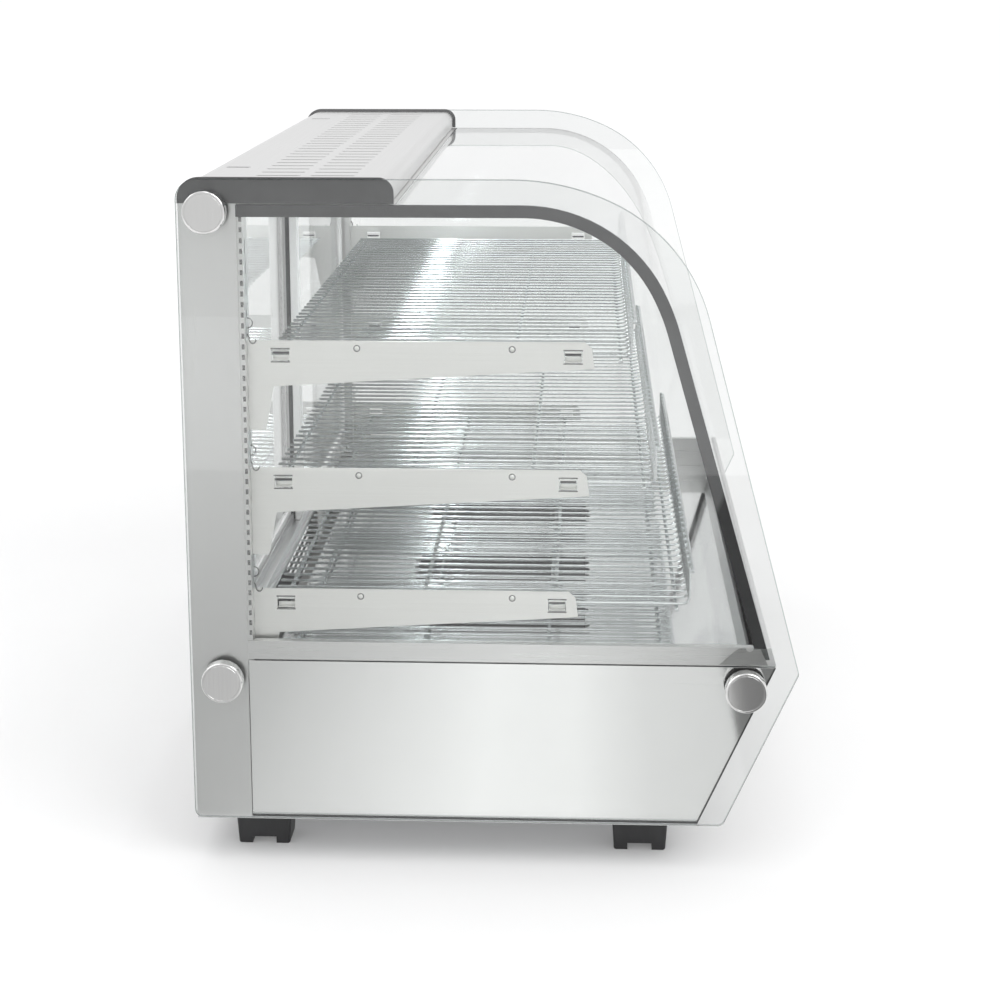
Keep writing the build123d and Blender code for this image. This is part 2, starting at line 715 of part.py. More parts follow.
with BuildPart() as controller:
    box((CONTROL_X - 35.3, CONTROL_X + 35.3), (REAR_FACE - 45, REAR_FACE),
        (CONTROL_Z - 14.3, CONTROL_Z + 14.3))
    box((CONTROL_X - BEZEL[0] / 2, CONTROL_X + BEZEL[0] / 2), (REAR_FACE, REAR_FACE + BEZEL_T),
        (CONTROL_Z - BEZEL[1] / 2, CONTROL_Z + BEZEL[1] / 2))
    fillet(controller.faces().sort_by(Axis.Y)[-1].edges(), 1.2)
    for offset_x in BUTTON_PLACES.values():
        with Locations((CONTROL_X + offset_x, REAR_FACE, CONTROL_Z)):
            Cylinder(BUTTON_R + 0.3, 8, rotation=ALONG_Y, mode=Mode.SUBTRACT)
    with Locations((CONTROL_X - 6, REAR_FACE + BEZEL_T, CONTROL_Z)):
        Box(30, 1.2, 16, mode=Mode.SUBTRACT)
save(controller, "controller")

for word, offset_x in BUTTON_PLACES.items():
    with BuildPart() as button:
        y_in, y_out = REAR_FACE - 4 + BUTTON_TRAVEL + 0.3, REAR_FACE + BEZEL_T + 1.0
        with Locations((CONTROL_X + offset_x, (y_in + y_out) / 2, CONTROL_Z)):
            Cylinder(BUTTON_R, y_out - y_in, rotation=ALONG_Y)
        fillet(button.faces().sort_by(Axis.Y)[-1].edges(), 0.5)
    save(button, f"button_{word}")

# ---- rocker switches ----
ROCKER_TILT = 10.0
ROCKER_W = 13.0
PIVOT_Y = REAR_FACE - 1.0
PIVOT_R = 1.5

with BuildPart() as switch_bodies:
    with Locations(*[(x, REAR_FACE + 1, SWITCH_Z) for x in SWITCH_X]):
        Box(22, 2, 26)
    with Locations(*[(x, REAR_FACE - 10, SWITCH_Z) for x in SWITCH_X]):
        Box(19.2, 20, 21.8)
    with Locations(*[(x, REAR_FACE - 4, SWITCH_Z) for x in SWITCH_X]):
        Box(ROCKER_W + 1, 13, 17, mode=Mode.SUBTRACT)
    with Locations(*[(x, PIVOT_Y, SWITCH_Z) for x in SWITCH_X]):
        Cylinder(PIVOT_R + 0.05, ROCKER_W + 5, rotation=ALONG_X, mode=Mode.SUBTRACT)
save(switch_bodies, "switch_bodies")

for word, place in zip(("power", "lamp"), SWITCH_X):
    with BuildPart() as rocker:
        with BuildSketch(Plane.YZ.offset(place - ROCKER_W / 2)):
            with Locations(Location((PIVOT_Y, SWITCH_Z), ROCKER_TILT)):
                Polygon((-3, -6), (4.5, -7), (2.6, 0), (4.5, 7), (-3, 6), align=None)
        extrude(amount=ROCKER_W)
        with Locations((place, PIVOT_Y, SWITCH_Z)):
            Cylinder(PIVOT_R, ROCKER_W + 4, rotation=ALONG_X)
    save(rocker, f"{word}_rocker")

# ---- power inlet ----
with BuildPart() as inlet:
    box((INLET_X - 13.8, INLET_X + 13.8), (REAR_FACE - 20, REAR_FACE),
        (INLET_Z - 10, INLET_Z + 10))
    box((INLET_X - 25, INLET_X + 25), (REAR_FACE, REAR_FACE + 2.5), (INLET_Z - 12, INLET_Z + 12))
    with BuildSketch(Plane.XZ.offset(-REAR_FACE - 5)):
        with Locations((INLET_X, INLET_Z)):
            RectangleRounded(24.5, 16.5, 3)
    extrude(amount=19, mode=Mode.SUBTRACT)
    for pin_x, pin_z in ((-7, -2), (0, 2), (7, -2)):
        with Locations((INLET_X + pin_x, REAR_FACE - 8, INLET_Z + pin_z)):
            Box(2, 13, 4)
    with Locations((INLET_X - 20, REAR_FACE + 2, INLET_Z), (INLET_X + 20, REAR_FACE + 2, INLET_Z)):
        Cylinder(1.7, 6, rotation=ALONG_Y, mode=Mode.SUBTRACT)
save(inlet, "power_inlet")

# ---- chilled tub below the deck ----
TUB_HALF = 330.0
TUB_Y = (-170.0, 118.0)
TUB_WALL = 14.0
TUB_TOP = DECK_Z - SHEET - 0.1
TUB_FLOOR = 64.0
with BuildPart() as tub:
    box((-TUB_HALF, TUB_HALF), TUB_Y, (TUB_FLOOR, TUB_TOP))
    box((-TUB_HALF + TUB_WALL, TUB_HALF - TUB_WALL), (TUB_Y[0] + TUB_WALL, TUB_Y[1] - TUB_WALL),
        (TUB_FLOOR + TUB_WALL, TUB_TOP), Mode.SUBTRACT)
    with Locations((0, 0, TUB_FLOOR + TUB_WALL / 2)):
        Cylinder(6, TUB_WALL, mode=Mode.SUBTRACT)
save(tub, "evaporator_tub")


FIN_T = 1.0
COIL_TUBE_R = 4.0
COIL_TUBE_END = 5.0


def coil(x, y, z, fins, turns):
    """Finned coil block: thin fins across X on a row of tubes; limits as for box."""
    pitch = (x[1] - x[0]) / fins
    middle = ((x[0] + x[1]) / 2, (y[0] + y[1]) / 2, (z[0] + z[1]) / 2)
    step = (z[1] - z[0]) / turns
    tubes = [(middle[0], middle[1], z[0] + step * (i + 0.5)) for i in range(turns)]
    with BuildPart() as block:
        with Locations(middle):
            with GridLocations(pitch, 1, fins, 1):
                Box(FIN_T, y[1] - y[0], z[1] - z[0])
        with Locations(*tubes):
            Cylinder(COIL_TUBE_R, x[1] - x[0] + 2 * COIL_TUBE_END, rotation=ALONG_X)
    return block


EVAPORATOR_Z = (TUB_FLOOR + TUB_WALL + 4, TUB_FLOOR + TUB_WALL + 60)
EVAPORATOR_FINS = 40
CONDENSER_X = (130.0, 290.0)
CONDENSER_Y = (150.0, 185.0)
CONDENSER_FINS = 32
evaporator = coil((-290, 60), (-120, 60), EVAPORATOR_Z, EVAPORATOR_FINS, 3)
save(evaporator, "evaporator_coil")
condenser = coil(CONDENSER_X, CONDENSER_Y, (BASE_Z + 8, BASE_Z + 128), CONDENSER_FINS, 5)
save(condenser, "condenser_coil")

# ---- fans ----
FAN_SIZE = 104.0
FAN_BORE_R = 47.0
FAN_DEPTH = 25.0
HUB_R = 18.0
BLADE_R = 44.0
BLADES = 7
BLADE_CHORD = 20.0
BLADE_T = 1.6
BLADE_ANGLE = 35.0
BLADE_LIFT = 13.0
STRUT_T = 4.0
STRUT_W = 5.0
SHAFT_R = 2.0
SHAFT_L = 14.0
HUB_H = 16.0
HUB_LIFT = STRUT_T + 1.0


def fan_frame(face):
    """Square fan frame with a motor boss on three struts; face is its back plane."""
    with BuildPart() as frame:
        with BuildSketch(face):
            RectangleRounded(FAN_SIZE, FAN_SIZE, 6)
            Circle(FAN_BORE_R, mode=Mode.SUBTRACT)
        extrude(amount=FAN_DEPTH)
        with BuildSketch(face):
            Circle(HUB_R)
            for turn in (0, 120, 240):
                with Locations(Location((0, 0), turn)):
                    Rectangle(FAN_BORE_R + 2, STRUT_W, align=(Align.MIN, Align.CENTER))
        extrude(amount=STRUT_T)
        with BuildSketch(face.offset(STRUT_T)):
            Circle(SHAFT_R)
        extrude(amount=SHAFT_L)
    return frame


def fan_rotor(face):
    """Hub and swept blades that turn on the frame's shaft; face is the frame's back plane."""
    with BuildPart() as rotor:
        with BuildSketch(face.offset(HUB_LIFT)):
            Circle(HUB_R)
        extrude(amount=HUB_H)
        with BuildSketch(face.offset(HUB_LIFT)):
            Circle(SHAFT_R + 0.05)
        extrude(amount=SHAFT_L, mode=Mode.SUBTRACT)
        for turn in range(BLADES):
            spot = face.offset(BLADE_LIFT).location * Location((0, 0, 0), (0, 0, turn * 360 / BLADES))
            spot = spot * Location(((HUB_R + BLADE_R) / 2 - 1, 0, 0), (BLADE_ANGLE, 0, 0))
            with Locations(spot):
                Box(BLADE_R - HUB_R + 2, BLADE_CHORD, BLADE_T)
    return rotor


EVAPORATOR_FAN = Plane((170, -10, TUB_TOP - 45), z_dir=(0, 0, 1))
CONDENSER_FAN_Y = CONDENSER_Y[1] + 15.0
CONDENSER_FAN = Plane((EXHAUST_X, CONDENSER_FAN_Y, 108), x_dir=(1, 0, 0), z_dir=(0, 1, 0))
for word, face in (("evaporator", EVAPORATOR_FAN), ("condenser", CONDENSER_FAN)):
    save(fan_frame(face), f"{word}_fan_frame")
    save(fan_rotor(face), f"{word}_fan_rotor")

# ---- compressor and pipes ----
COMPRESSOR_X = -190.0
COMPRESSOR_Y = 196.0
COMPRESSOR_R = 58.0
COMPRESSOR_H = 100.0
GROMMET_R = 8.0
GROMMET_H = 7.6
with BuildPart() as compressor:
    with Locations((COMPRESSOR_X, COMPRESSOR_Y, BASE_Z + 8 + COMPRESSOR_H / 2)):
        Cylinder(COMPRESSOR_R, COMPRESSOR_H)
    fillet(compressor.faces().sort_by(Axis.Z)[-1].edges(), 30)
    fillet(compressor.faces().sort_by(Axis.Z)[0].edges(), 12)
    with Locations((COMPRESSOR_X, COMPRESSOR_Y, BASE_Z + 9)):
        Box(140, 110, 3)
    with Locations((COMPRESSOR_X, COMPRESSOR_Y, BASE_Z + GROMMET_H / 2)):
        with GridLocations(120, 90, 2, 2):
            Cylinder(GROMMET_R, GROMMET_H)
save(compressor, "compressor")

PIPE_R = 3.0
PIPE_BEND = 12.0
PIPE_Z = 92.0
PIPE_TURN_X = 40.0
PIPE_END_X = CONDENSER_X[0] - COIL_TUBE_END - 0.2
PIPE_END_Y = (CONDENSER_Y[0] + CONDENSER_Y[1]) / 2 - 0.5
with BuildPart() as pipes:
    with BuildLine() as route:
        start = (COMPRESSOR_X + COMPRESSOR_R, COMPRESSOR_Y, PIPE_Z)
        turn_in = (PIPE_TURN_X, COMPRESSOR_Y, PIPE_Z)
        turn_out = (PIPE_TURN_X, PIPE_END_Y, PIPE_Z)
        FilletPolyline(start, turn_in, turn_out, (PIPE_END_X, PIPE_END_Y, PIPE_Z), radius=PIPE_BEND)
    with BuildSketch(Plane(origin=route.line @ 0, z_dir=route.line % 0)):
        Circle(PIPE_R)
    sweep()
save(pipes, "refrigerant_pipe")
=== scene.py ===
"""Looks of the bakery display case: materials, fine pieces, light and camera round the CAD frame."""
import math

import bmesh
import bpy
import json
from mathutils import Matrix, Vector

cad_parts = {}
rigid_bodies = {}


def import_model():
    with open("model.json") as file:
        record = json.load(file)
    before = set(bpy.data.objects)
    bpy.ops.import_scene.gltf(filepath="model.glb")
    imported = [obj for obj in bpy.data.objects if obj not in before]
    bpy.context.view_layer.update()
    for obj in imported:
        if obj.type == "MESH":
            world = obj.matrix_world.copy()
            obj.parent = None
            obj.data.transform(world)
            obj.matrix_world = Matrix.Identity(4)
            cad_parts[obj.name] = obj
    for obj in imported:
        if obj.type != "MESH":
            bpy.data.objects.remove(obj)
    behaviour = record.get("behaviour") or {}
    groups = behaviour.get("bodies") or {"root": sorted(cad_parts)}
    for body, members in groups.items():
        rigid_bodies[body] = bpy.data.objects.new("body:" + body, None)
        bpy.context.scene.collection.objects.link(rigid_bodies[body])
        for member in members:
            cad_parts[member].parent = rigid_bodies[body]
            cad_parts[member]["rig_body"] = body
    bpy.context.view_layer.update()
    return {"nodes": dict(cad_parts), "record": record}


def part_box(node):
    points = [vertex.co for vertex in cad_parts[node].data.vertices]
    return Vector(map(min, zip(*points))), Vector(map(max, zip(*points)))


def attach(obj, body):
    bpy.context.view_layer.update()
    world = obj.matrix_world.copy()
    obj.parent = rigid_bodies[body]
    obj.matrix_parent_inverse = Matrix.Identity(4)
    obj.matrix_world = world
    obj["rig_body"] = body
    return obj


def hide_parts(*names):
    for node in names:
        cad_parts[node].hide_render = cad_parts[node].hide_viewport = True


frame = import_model()

MM = 0.001
ALL_TIERS = ("top", "middle", "bottom")
SLOT_OF = {part["node"]: part["material_slot"] for part in frame["record"]["subparts"]}


# ---------------------------------------------------------------- materials
class Paint:
    """A node material built round one Principled shader."""

    def __init__(self, name, **inputs):
        self.mat = bpy.data.materials.new(name)
        self.mat.use_nodes = True
        self.tree = self.mat.node_tree
        self.tree.nodes.clear()
        self.out = self.add("ShaderNodeOutputMaterial")
        self.bsdf = self.add("ShaderNodeBsdfPrincipled")
        self.link(self.bsdf.outputs[0], self.out.inputs["Surface"])
        self.coords = self.add("ShaderNodeTexCoord").outputs["Object"]
        for key, value in inputs.items():
            self.bsdf.inputs[key.replace("_", " ")].default_value = value

    def add(self, kind, **fields):
        node = self.tree.nodes.new(kind)
        for key, value in fields.items():
            setattr(node, key, value)
        return node

    def link(self, a, b):
        self.tree.links.new(a, b)

    def noise(self, scale, detail=3.0, rough=0.55):
        """Noise value with its own scale along each axis, per metre."""
        stretch = self.add("ShaderNodeMapping")
        stretch.inputs["Scale"].default_value = scale if isinstance(scale, tuple) else (scale,) * 3
        self.link(self.coords, stretch.inputs["Vector"])
        node = self.add("ShaderNodeTexNoise")
        node.inputs["Scale"].default_value = 1.0
        node.inputs["Detail"].default_value = detail
        node.inputs["Roughness"].default_value = rough
        self.link(stretch.outputs[0], node.inputs["Vector"])
        return node.outputs["Fac"]

    def cells(self, scale):
        node = self.add("ShaderNodeTexVoronoi")
        node.inputs["Scale"].default_value = scale
        self.link(self.coords, node.inputs["Vector"])
        return node.outputs["Color"]

    def fit(self, value, low, high, start=0.3, end=0.7):
        node = self.add("ShaderNodeMapRange")
        for key, number in zip(("From Min", "From Max", "To Min", "To Max"), (start, end, low, high)):
            node.inputs[key].default_value = number
        self.link(value, node.inputs["Value"])
        return node.outputs["Result"]

    def maths(self, kind, a, b):
        node = self.add("ShaderNodeMath", operation=kind)
        for socket, value in zip(node.inputs, (a, b)):
            if isinstance(value, (int, float)):
                socket.default_value = value
            else:
                self.link(value, socket)
        return node.outputs[0]

    def blend(self, fac, dark, light, socket="Base Color"):
        node = self.add("ShaderNodeMix", data_type="RGBA")
        node.inputs["A"].default_value = (*dark, 1)
        node.inputs["B"].default_value = (*light, 1)
        self.link(fac, node.inputs["Factor"])
        self.link(node.outputs["Result"], self.bsdf.inputs[socket])
        return node

    def rough(self, value):
        self.link(value, self.bsdf.inputs["Roughness"])

    def bump(self, value, depth, strength=1.0):
        node = self.add("ShaderNodeBump")
        node.inputs["Distance"].default_value = depth
        node.inputs["Strength"].default_value = strength
        self.link(value, node.inputs["Height"])
        self.link(node.outputs[0], self.bsdf.inputs["Normal"])


def brushed(name, along, light, dark, rough=(0.24, 0.38), fine=1400.0, bump=0.00003):
    """Metal with a directional grain along one axis, soft clouding and faint handling marks."""
    paint = Paint(name, Metallic=1.0)
    scale = [fine, fine, fine]
    scale["XYZ".index(along)] = 7.0
    grain = paint.noise(tuple(scale), 4.0, 0.6)
    cloud = paint.noise(5.0, 2.0)
    mixed = paint.maths("ADD", paint.maths("MULTIPLY", grain, 0.75), paint.maths("MULTIPLY", cloud, 0.25))
    paint.blend(paint.fit(mixed, 0.0, 1.0), dark, light)
    paint.rough(paint.fit(mixed, rough[1], rough[0]))
    paint.bump(grain, bump, 0.6)
    return paint.mat


def mirror_metal(name, light, dark, rough=(0.05, 0.11), grain=(60.0, 60.0, 60.0)):
    """Polished sheet with slow waviness, faint wipe marks and small changes of gloss."""
    paint = Paint(name, Metallic=1.0)
    wipe = paint.noise(grain, 3.0)
    cloud = paint.noise(3.0, 2.0)
    mixed = paint.maths("ADD", paint.maths("MULTIPLY", wipe, 0.4), paint.maths("MULTIPLY", cloud, 0.6))
    paint.blend(paint.fit(mixed, 0.0, 1.0), dark, light)
    paint.rough(paint.fit(mixed, rough[1], rough[0]))
    paint.bump(cloud, 0.0004, 0.25)
    return paint.mat


def moulded(name, light, dark, rough=(0.38, 0.55), grain=900.0, depth=0.00006, **more):
    """Moulded plastic with a fine spark texture and slight scuffing."""
    paint = Paint(name, **more)
    spark = paint.noise(grain, 2.0)
    scuff = paint.noise((45.0, 45.0, 18.0), 5.0, 0.7)
    paint.blend(paint.fit(scuff, 0.0, 1.0, 0.4, 0.75), dark, light)
    paint.rough(paint.fit(scuff, rough[0], rough[1]))
    paint.bump(spark, depth, 0.5)
    return paint.mat


def see_through(name, tint, rough=0.0, smudge=0.02):
    """Clear glass or acrylic that lets light through to what stands behind it."""
    paint = Paint(name, Transmission_Weight=1.0, IOR=1.46)
    haze = paint.noise((4.0, 6.0, 3.0), 3.0, 0.6)
    paint.blend(paint.fit(haze, 0.0, 1.0), tuple(c * 0.985 for c in tint), tint)
    paint.rough(paint.fit(haze, rough, rough + smudge))
    path = paint.add("ShaderNodeLightPath")
    clear = paint.add("ShaderNodeBsdfTransparent")
    clear.inputs[0].default_value = (*(c**0.5 for c in tint), 1)
    mix = paint.add("ShaderNodeMixShader")
    paint.link(path.outputs["Is Shadow Ray"], mix.inputs[0])
    paint.link(paint.bsdf.outputs[0], mix.inputs[1])
    paint.link(clear.outputs[0], mix.inputs[2])
    paint.link(mix.outputs[0], paint.out.inputs["Surface"])
    return paint.mat


def gasket_painted_reflection():
    """Side gasket: grey in the upper run and black in the lower one, parted by a slanted line; the grey run
    is a painted reflection of the pane.
    """
    paint = Paint("side_seal_painted_reflection")
    split = paint.add("ShaderNodeSeparateXYZ")
    paint.link(paint.coords, split.inputs[0])
    slope, black_below, reflection_above = 2.4, -0.153, -0.140
    lean = paint.maths("ADD", split.outputs["Z"], paint.maths("MULTIPLY", split.outputs["Y"], slope))
    share = paint.fit(lean, 0.0, 1.0, black_below, reflection_above)
    # Painted reflection: the grey upper run stands for the pane's reflection over the rubber, the black
    # lower run is the bare rubber.
    paint.blend(share, (0.012, 0.012, 0.013), (0.10, 0.10, 0.102))
    paint.rough(paint.fit(paint.noise((45.0, 45.0, 18.0), 5.0, 0.7), 0.45, 0.62))
    paint.bump(paint.noise(1300.0), 0.00006, 0.5)
    return paint.mat


STEEL = ((0.74, 0.74, 0.735), (0.67, 0.67, 0.665))
CALM_STEEL = ((0.715, 0.715, 0.71), (0.69, 0.69, 0.685))
CALM_FINISH = ((0.27, 0.35), 1400.0, 0.000008)
steel_x = brushed("steel_brushed_across", "X", *STEEL)
steel_y = brushed("steel_brushed_deep", "Y", *STEEL)
steel_z = brushed("steel_brushed_upright", "Z", *CALM_STEEL, *CALM_FINISH)
cover_steel = brushed("steel_cover", "X", *CALM_STEEL, *CALM_FINISH)
# Dark steel for the plates that paint a reflection beside the glass holder.
reflection_patch_steel = brushed("steel_dark_painted_reflection", "Y", (0.44, 0.44, 0.435), (0.36, 0.36, 0.355))
bracket_steel = brushed("bracket_sheet", "Y", (0.84, 0.84, 0.82), (0.79, 0.79, 0.77), (0.34, 0.48))
polished = mirror_metal("steel_polished", (0.88, 0.88, 0.875), (0.85, 0.85, 0.845), (0.05, 0.08),
                        (70.0, 14.0, 400.0))
disc_steel = brushed("steel_turned", "Z", (0.74, 0.74, 0.735), (0.68, 0.68, 0.675), (0.09, 0.15),
                     1400.0, 0.00001)
deck_steel = mirror_metal("steel_mirror", (0.93, 0.935, 0.935), (0.87, 0.875, 0.875))
chrome = mirror_metal("chrome_wire", (0.68, 0.70, 0.70), (0.53, 0.555, 0.555), (0.12, 0.2),
                      (250.0, 30.0, 250.0))
# Dark metal for the wire hangers, and for painted shade: the window rim lines, the dimple rings and the
# upright slot marks.
dark_wire_and_shade = mirror_metal("dark_wire_and_shade", (0.30, 0.30, 0.30), (0.22, 0.22, 0.22), (0.2, 0.3),
                         (250.0, 250.0, 250.0))
aluminium = brushed("aluminium_satin", "X", (0.80, 0.80, 0.80), (0.70, 0.70, 0.70), (0.30, 0.44))
glass = see_through("glass_clear", (0.905, 0.914, 0.91), 0.0, 0.012)
glass_edge = see_through("glass_polished_edge", (0.50, 0.55, 0.54), 0.15, 0.1)
washer_clear = see_through("washer_soft", (0.85, 0.86, 0.86), 0.25, 0.1)
rubber = moulded("rubber_seal", (0.105, 0.105, 0.107), (0.085, 0.085, 0.087), (0.45, 0.62), 1300.0)
# Side gasket look with a painted reflection on its upper run.
side_seal_reflection_look = gasket_painted_reflection()
black = moulded("plastic_black", (0.032, 0.032, 0.034), (0.018, 0.018, 0.019), (0.36, 0.52))
grey = moulded("plastic_grey", (0.36, 0.36, 0.37), (0.30, 0.30, 0.31))
white = moulded("plastic_white", (0.80, 0.80, 0.79), (0.73, 0.73, 0.72), (0.30, 0.42))
stile_white = moulded("stile_powder", (0.93, 0.93, 0.925), (0.88, 0.88, 0.875), (0.34, 0.46))
fan_black = moulded("plastic_fan", (0.05, 0.05, 0.052), (0.03, 0.03, 0.032), (0.42, 0.58))


def spangled():
    """Hot-dip galvanised sheet with crystal spangle."""
    paint = Paint("sheet_galvanised", Metallic=1.0)
    cells = paint.cells(85.0)
    grey_cells = paint.add("ShaderNodeRGBToBW")
    paint.link(cells, grey_cells.inputs[0])
    paint.blend(grey_cells.outputs[0], (0.42, 0.43, 0.44), (0.60, 0.61, 0.62))
    paint.rough(paint.fit(grey_cells.outputs[0], 0.34, 0.52, 0.0, 1.0))
    paint.bump(paint.noise(260.0), 0.00005)
    return paint.mat


def coil_fins():
    """Stacked thin fins: fine lines across the coil with small dents; the dark lines are painted shade
    between the fins.
    """
    paint = Paint("coil_fins", Metallic=1.0)
    lines = paint.add("ShaderNodeTexWave", bands_direction="X")
    lines.inputs["Scale"].default_value = 170.0
    lines.inputs["Distortion"].default_value = 0.4
    paint.link(paint.coords, lines.inputs["Vector"])
    dents = paint.noise(120.0)
    # Painted shade: the dark bands stand for the gaps between fins.
    paint.blend(lines.outputs["Fac"], (0.38, 0.38, 0.38), (0.72, 0.72, 0.72))
    paint.rough(paint.fit(dents, 0.3, 0.5))
    paint.bump(lines.outputs["Fac"], 0.0003)
    return paint.mat


def copper():
    """Drawn copper tube with darker tarnish."""
    paint = Paint("copper_tube", Metallic=1.0)
    stain = paint.noise(40.0, 4.0)
    paint.blend(paint.fit(stain, 0.0, 1.0), (0.42, 0.20, 0.12), (0.80, 0.44, 0.30))
    paint.rough(paint.fit(stain, 0.42, 0.2))
    paint.bump(stain, 0.0001, 0.3)
    return paint.mat


def enamel():
    """Thick black enamel with orange peel."""
    paint = Paint("enamel_black", Coat_Weight=0.6)
    peel = paint.noise(420.0, 2.0)
    dust = paint.noise(30.0, 4.0)
    paint.blend(paint.fit(dust, 0.0, 1.0), (0.02, 0.02, 0.022), (0.05, 0.05, 0.052))
    paint.rough(paint.fit(dust, 0.25, 0.4))
    paint.bump(peel, 0.0002, 0.5)
    return paint.mat


def lamp_glow():
    """Opal strip over the lamp's diodes, a little brighter above each diode."""
    paint = Paint("lamp_opal", Base_Color=(0.9, 0.92, 0.93, 1), Roughness=0.35, Emission_Strength=16.0)
    dots = paint.add("ShaderNodeTexWave", bands_direction="X")
    dots.inputs["Scale"].default_value = 19.0
    paint.link(paint.coords, dots.inputs["Vector"])
    paint.blend(dots.outputs["Fac"], (0.87, 0.93, 0.96), (0.97, 0.99, 1.0), "Emission Color")
    paint.bump(paint.noise(500.0), 0.00004)
    return paint.mat


LOOKS = {
    "clear_glass": glass, "black_seal": rubber, "bracket_steel": bracket_steel,
    "chrome_wire": chrome, "mirror_steel": deck_steel, "polished_steel": polished,
    "brushed_steel": steel_x, "satin_aluminium": aluminium, "black_plastic": black,
    "grey_plastic": grey, "white_plastic": white, "lamp_diffuser": lamp_glow(),
    "clear_washer": washer_clear, "coil_aluminium": coil_fins(), "fan_plastic": fan_black,
    "compressor_paint": enamel(), "copper_pipe": copper(), "galvanised_plate": spangled(),
}
SPECIAL_LOOKS = {
    "rear_column_left": steel_z, "rear_column_right": steel_z, "shelf_uprights": steel_z,
    "sills": steel_y, "top_cover": cover_steel, "door_left_frame": stile_white,
    "door_right_frame": stile_white,
    "glass_seal_left": side_seal_reflection_look, "glass_seal_right": side_seal_reflection_look,
}
for node, obj in frame["nodes"].items():
    look = SPECIAL_LOOKS.get(node, LOOKS[SLOT_OF[node]])
    if not obj.material_slots:
        obj.data.materials.append(look)
    for place in obj.material_slots:
        place.material = look


# ---------------------------------------------------------------- mesh helpers
def finish_mesh(name, bm, looks, body, nodes=(), smooth_deg=35.0):
    """Turn a bmesh into a piece that rides on a body and stands for CAD nodes."""
    bmesh.ops.recalc_face_normals(bm, faces=bm.faces)
    for face in bm.faces:
        face.smooth = True
    for edge in bm.edges:
        if len(edge.link_faces) == 2 and edge.calc_face_angle() > math.radians(smooth_deg):
            edge.smooth = False
    mesh = bpy.data.meshes.new(name)
    bm.to_mesh(mesh)
    bm.free()
    for look in looks:
        mesh.materials.append(look)
    obj = bpy.data.objects.new(name, mesh)
    bpy.context.scene.collection.objects.link(obj)
    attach(obj, body)
    if nodes:
        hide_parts(*nodes)
    return obj


def tube(bm, path, radius, sides=10):
    """Round wire along a list of points, with slightly domed ends."""
    points = [Vector(p) for p in path]
    rings = []
    side = None
    for i, point in enumerate(points):
        before = points[max(i - 1, 0)]
        after = points[min(i + 1, len(points) - 1)]
        way = (after - before).normalized()
        if side is None:
            side = way.orthogonal().normalized()
        side = (side - way * side.dot(way)).normalized()
        other = way.cross(side)
        ring = []
        for k in range(sides):
            turn = 2 * math.pi * k / sides
            ring.append(bm.verts.new(point + (side * math.cos(turn) + other * math.sin(turn)) * radius))
        rings.append(ring)
    for a, b in zip(rings, rings[1:]):
        for k in range(sides):
            bm.faces.new((a[k], a[(k + 1) % sides], b[(k + 1) % sides], b[k]))
    for ring, tip, near in ((rings[0], points[0], points[1]), (rings[-1], points[-1], points[-2])):
        inner = [bm.verts.new(tip + (v.co - tip) * 0.6 + (tip - near).normalized() * radius * 0.3)
                 for v in ring]
        for k in range(sides):
            bm.faces.new((ring[k], ring[(k + 1) % sides], inner[(k + 1) % sides], inner[k]))
        bm.faces.new(inner)


def bend(corner, a, b, radius, steps=5):
    """Points of a round bend at corner between unit directions a (in) and b (out)."""
    corner, a, b = Vector(corner), Vector(a), Vector(b)
    centre = corner - a * radius + b * radius
    return [
        centre - b * radius * math.cos(t) + a * radius * math.sin(t)
        for t in (math.pi / 2 * i / steps for i in range(steps + 1))
    ]


def lathe(bm, centre, axis, profile, sides=64):
    """Turned form: profile is (radius, distance along the axis) pairs; the axis is X or Y, signed."""
    centre, axis = Vector(centre), Vector(axis)
    side = axis.orthogonal().normalized()
    other = axis.cross(side)
    rings = []
    for radius, along in profile:
        base = centre + axis * along
        if radius == 0:
            rings.append([bm.verts.new(base)])
            continue
        rings.append([
            bm.verts.new(base + (side * math.cos(t) + other * math.sin(t)) * radius)
            for t in (2 * math.pi * k / sides for k in range(sides))
        ])
    for a, b in zip(rings, rings[1:]):
        for k in range(sides):
            n = (k + 1) % sides
            if len(a) == 1:
                bm.faces.new((a[0], b[n], b[k]))
            elif len(b) == 1:
                bm.faces.new((a[k], a[n], b[0]))
            else:
                bm.faces.new((a[k], a[n], b[n], b[k]))


def bar(bm, low, high, round_off=0.0, steps=2):
    """Box between two corners with rounded edges."""
    low, high = Vector(low), Vector(high)
    made = bmesh.ops.create_cube(bm, size=1.0)["verts"]
    size = high - low
    for v in made:
        v.co = Vector((v.co[i] * size[i] for i in range(3))) + (low + high) / 2
    if round_off:
        edges = {e for v in made for e in v.link_edges}
        bmesh.ops.bevel(bm, geom=list(edges), offset=round_off, segments=steps, affect="EDGES",
                        profile=0.5)


def mm(*values):
    return tuple(v * MM for v in values)


# ---------------------------------------------------------------- glass panes
PANE_IN, PANE_OUT = 423.0, 429.0
AIR_GAP = 0.00015


